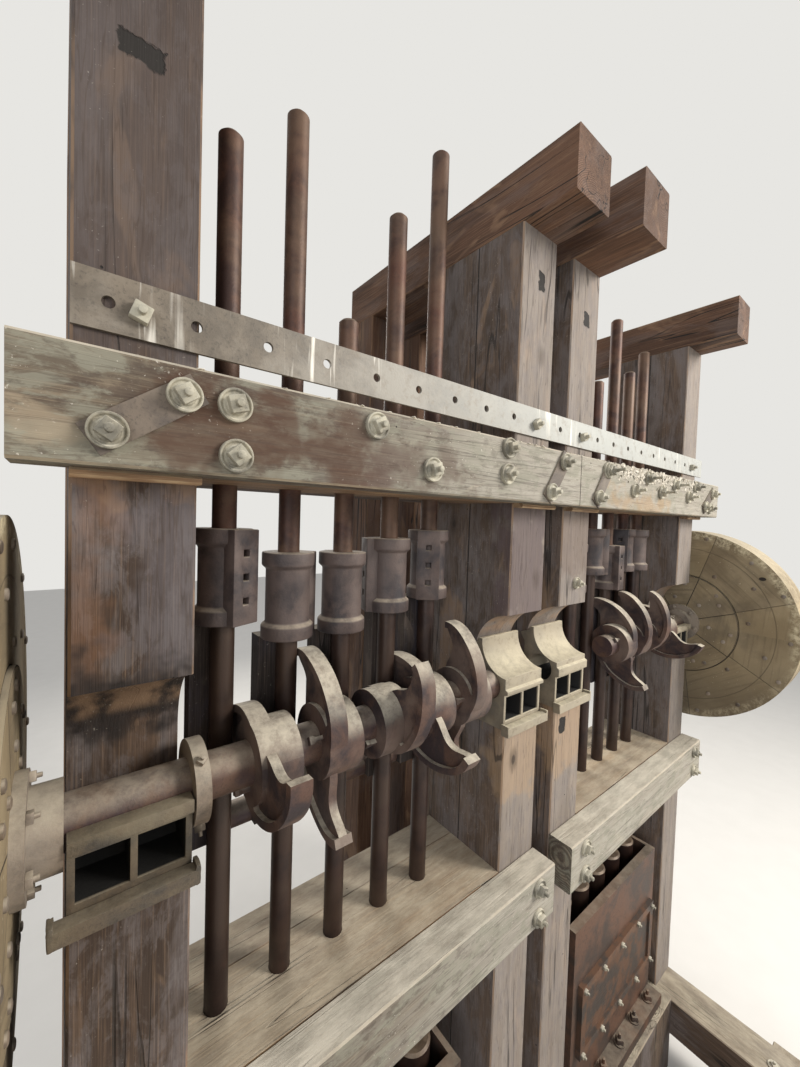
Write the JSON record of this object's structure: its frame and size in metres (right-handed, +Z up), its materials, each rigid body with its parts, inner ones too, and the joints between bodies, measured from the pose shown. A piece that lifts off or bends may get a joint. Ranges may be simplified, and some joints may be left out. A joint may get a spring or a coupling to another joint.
{
  "type": "stamp mill",
  "caption": "Timber-framed gravity stamp mill: two batteries of iron stamps over mortars, lifted by cams on belt-driven camshafts.",
  "frame": {"origin": "on the ground, midway between the two batteries and under the middle of the cross sills", "axes": "+X along the mill, +Y from the working side to the back, +Z up along the stems"},
  "size_m": [5.49, 3.2, 6.55],
  "materials": {
    "post_timber": "weathered, dusty, rough sawn",
    "cap_timber": "weathered brown, rough sawn",
    "rear_timber": "weathered brown, rough sawn",
    "beam_timber": "grey, dusty, worn",
    "sill_timber": "dark, weathered",
    "block_timber": "dark, weathered",
    "guide_wood": "oiled hardwood",
    "ledge_wood": "pale, dusty",
    "finger_wood": "dark, oiled",
    "wheel_wood": "grey-tan boards, dusty",
    "bar_iron": "dull, dusty, drip stained",
    "strap_iron": "dull, dusty",
    "stem_iron": "rust brown, dull",
    "tappet_iron": "dark, oily dust",
    "shaft_iron": "rust brown",
    "cam_iron": "rust brown, dusty",
    "bearing_iron": "dusty, dull",
    "hub_iron": "dull, dusty",
    "mortar_iron": "rusty, dull",
    "die_iron": "worn",
    "screen_iron": "dull, rusty"
  },
  "bodies": {
    "frame": {"battery_posts": "post_timber", "post_caps": "cap_timber", "rear_posts": "rear_timber", "mud_sills": "sill_timber", "cross_sills": "sill_timber", "guide_beams": "beam_timber", "rear_girts": "rear_timber", "ledge_boards": "ledge_wood", "guide_blocks": "guide_wood", "perforated_bar": "bar_iron", "strap_irons": "strap_iron", "camshaft_bearings": "bearing_iron", "jack_shafts": "shaft_iron", "jack_fingers": "finger_wood", "mortars": "mortar_iron", "dies": "die_iron", "mortar_blocks": "block_timber", "mortar_screens": "screen_iron"},
    "camshaft_left": {"camshaft_left": "shaft_iron", "cams_left": "cam_iron", "shaft_collar_left": "hub_iron", "wheel_rim_left": "wheel_wood", "wheel_disc_left": "wheel_wood", "wheel_hub_left": "hub_iron"},
    "camshaft_right": {"camshaft_right": "shaft_iron", "cams_right": "cam_iron", "shaft_collar_right": "hub_iron", "wheel_rim_right": "wheel_wood", "wheel_disc_right": "wheel_wood", "wheel_hub_right": "hub_iron"},
    "stamp_1": {"stem_1": "stem_iron", "boss_head_1": "stem_iron", "tappet_1": "tappet_iron"},
    "stamp_2": {"stem_2": "stem_iron", "boss_head_2": "stem_iron", "tappet_2": "tappet_iron"},
    "stamp_3": {"stem_3": "stem_iron", "boss_head_3": "stem_iron", "tappet_3": "tappet_iron"},
    "stamp_4": {"stem_4": "stem_iron", "boss_head_4": "stem_iron", "tappet_4": "tappet_iron"},
    "stamp_5": {"stem_5": "stem_iron", "boss_head_5": "stem_iron", "tappet_5": "tappet_iron"},
    "stamp_6": {"stem_6": "stem_iron", "boss_head_6": "stem_iron", "tappet_6": "tappet_iron"},
    "stamp_7": {"stem_7": "stem_iron", "boss_head_7": "stem_iron", "tappet_7": "tappet_iron"},
    "stamp_8": {"stem_8": "stem_iron", "boss_head_8": "stem_iron", "tappet_8": "tappet_iron"},
    "stamp_9": {"stem_9": "stem_iron", "boss_head_9": "stem_iron", "tappet_9": "tappet_iron"},
    "stamp_10": {"stem_10": "stem_iron", "boss_head_10": "stem_iron", "tappet_10": "tappet_iron"}
  },
  "joints": [
    {"name": "camshaft_left_turn", "type": "hinge", "parent": "frame", "child": "camshaft_left", "pos_m": [0, -0.3, 3.82], "axis": [1, 0, 0], "continuous": true},
    {"name": "camshaft_right_turn", "type": "hinge", "parent": "frame", "child": "camshaft_right", "pos_m": [0, -0.3, 3.82], "axis": [1, 0, 0], "continuous": true},
    {"name": "stamp_1_lift", "type": "slide", "parent": "frame", "child": "stamp_1", "axis": [0, 0, 1], "range_m": [0, 0.12]},
    {"name": "stamp_2_lift", "type": "slide", "parent": "frame", "child": "stamp_2", "axis": [0, 0, 1], "range_m": [0, 0.12]},
    {"name": "stamp_3_lift", "type": "slide", "parent": "frame", "child": "stamp_3", "axis": [0, 0, 1], "range_m": [0, 0.12]},
    {"name": "stamp_4_lift", "type": "slide", "parent": "frame", "child": "stamp_4", "axis": [0, 0, 1], "range_m": [0, 0.12]},
    {"name": "stamp_5_lift", "type": "slide", "parent": "frame", "child": "stamp_5", "axis": [0, 0, 1], "range_m": [0, 0.12]},
    {"name": "stamp_6_lift", "type": "slide", "parent": "frame", "child": "stamp_6", "axis": [0, 0, 1], "range_m": [0, 0.12]},
    {"name": "stamp_7_lift", "type": "slide", "parent": "frame", "child": "stamp_7", "axis": [0, 0, 1], "range_m": [0, 0.12]},
    {"name": "stamp_8_lift", "type": "slide", "parent": "frame", "child": "stamp_8", "axis": [0, 0, 1], "range_m": [0, 0.12]},
    {"name": "stamp_9_lift", "type": "slide", "parent": "frame", "child": "stamp_9", "axis": [0, 0, 1], "range_m": [0, 0.12]},
    {"name": "stamp_10_lift", "type": "slide", "parent": "frame", "child": "stamp_10", "axis": [0, 0, 1], "range_m": [0, 0.12]}
  ]
}
